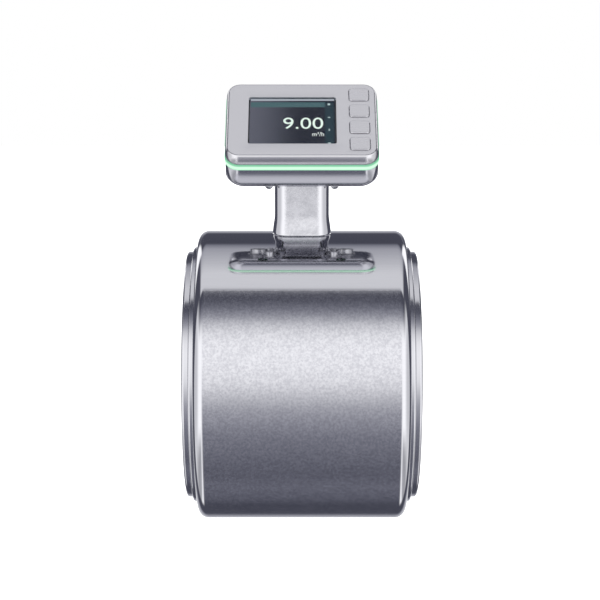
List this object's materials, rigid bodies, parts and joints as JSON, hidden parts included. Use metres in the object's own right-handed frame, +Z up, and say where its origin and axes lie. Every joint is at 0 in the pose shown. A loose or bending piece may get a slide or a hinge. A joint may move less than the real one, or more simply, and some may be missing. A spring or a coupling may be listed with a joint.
{
  "type": "electromagnetic flow meter",
  "caption": "Hygienic electromagnetic flow meter: lined drum with flow bore, coils and electrodes, neck and slanted display head with sprung keys.",
  "frame": {"origin": "centre of the flow bore, midway between the end faces", "axes": "+X along the pipe, +Z up through the neck to the head, the display faces -Y and up"},
  "size_m": [0.1504, 0.19, 0.286],
  "materials": {
    "drum_steel": "blasted stainless steel with a polished crown",
    "turned_steel": "turned stainless steel, fine",
    "seal_rubber": "matt black",
    "liner_plastic": "smooth off-white",
    "electrode_metal": "turned",
    "bush_plastic": "natural",
    "magnet_iron": "dark, pressed",
    "coil_copper": "enamelled winding",
    "neck_steel": "blasted stainless steel",
    "chassis_steel": "pressed sheet",
    "screw_steel": "polished",
    "shell_steel": "polished cast stainless steel",
    "light_plastic": "translucent, lit pale green",
    "cover_steel": "finely brushed stainless steel",
    "pane_glass": "clear, hardened",
    "display_panel": "dark display, lit figures",
    "board_laminate": "green laminate",
    "switch_plastic": "black",
    "key_steel": "finely brushed stainless steel",
    "plug_metal": "turned stainless steel",
    "insert_plastic": "black"
  },
  "bodies": {
    "meter": {"housing_drum": "drum_steel", "end_collar_left": "turned_steel", "end_collar_right": "turned_steel", "process_ring_left": "turned_steel", "process_ring_right": "turned_steel", "measuring_tube": "turned_steel", "face_seal_left": "seal_rubber", "face_seal_right": "seal_rubber", "rear_seal": "seal_rubber", "front_seal": "seal_rubber", "tube_liner": "liner_plastic", "electrode_front": "electrode_metal", "electrode_rear": "electrode_metal", "electrode_nuts": "electrode_metal", "electrode_bush_front": "bush_plastic", "electrode_bush_rear": "bush_plastic", "pole_shoe_upper": "magnet_iron", "pole_shoe_lower": "magnet_iron", "magnet_yoke": "magnet_iron", "field_coil_upper": "coil_copper", "field_coil_lower": "coil_copper", "neck": "neck_steel", "chassis_plate": "chassis_steel", "dome_screws": "screw_steel", "cover_screws": "screw_steel", "head_rear_shell": "shell_steel", "light_ring": "light_plastic", "front_cover": "cover_steel", "display_window": "pane_glass", "display_module": "display_panel", "main_board": "board_laminate", "control_board": "board_laminate", "key_switches": "switch_plastic", "plug_shell_left": "plug_metal", "plug_shell_right": "plug_metal", "plug_nut_left": "plug_metal", "plug_nut_right": "plug_metal", "plug_insert_left": "insert_plastic", "plug_insert_right": "insert_plastic"},
    "key_1": {"key_1": "key_steel"},
    "key_2": {"key_2": "key_steel"},
    "key_3": {"key_3": "key_steel"},
    "key_4": {"key_4": "key_steel"}
  },
  "joints": [
    {"name": "key_1_press", "type": "slide", "parent": "meter", "child": "key_1", "axis": [0, 0.6428, -0.766], "range_m": [0, 0.0008], "stiffness_N_per_m": 2500},
    {"name": "key_2_press", "type": "slide", "parent": "meter", "child": "key_2", "axis": [0, 0.6428, -0.766], "range_m": [0, 0.0008], "stiffness_N_per_m": 2500},
    {"name": "key_3_press", "type": "slide", "parent": "meter", "child": "key_3", "axis": [0, 0.6428, -0.766], "range_m": [0, 0.0008], "stiffness_N_per_m": 2500},
    {"name": "key_4_press", "type": "slide", "parent": "meter", "child": "key_4", "axis": [0, 0.6428, -0.766], "range_m": [0, 0.0008], "stiffness_N_per_m": 2500}
  ]
}
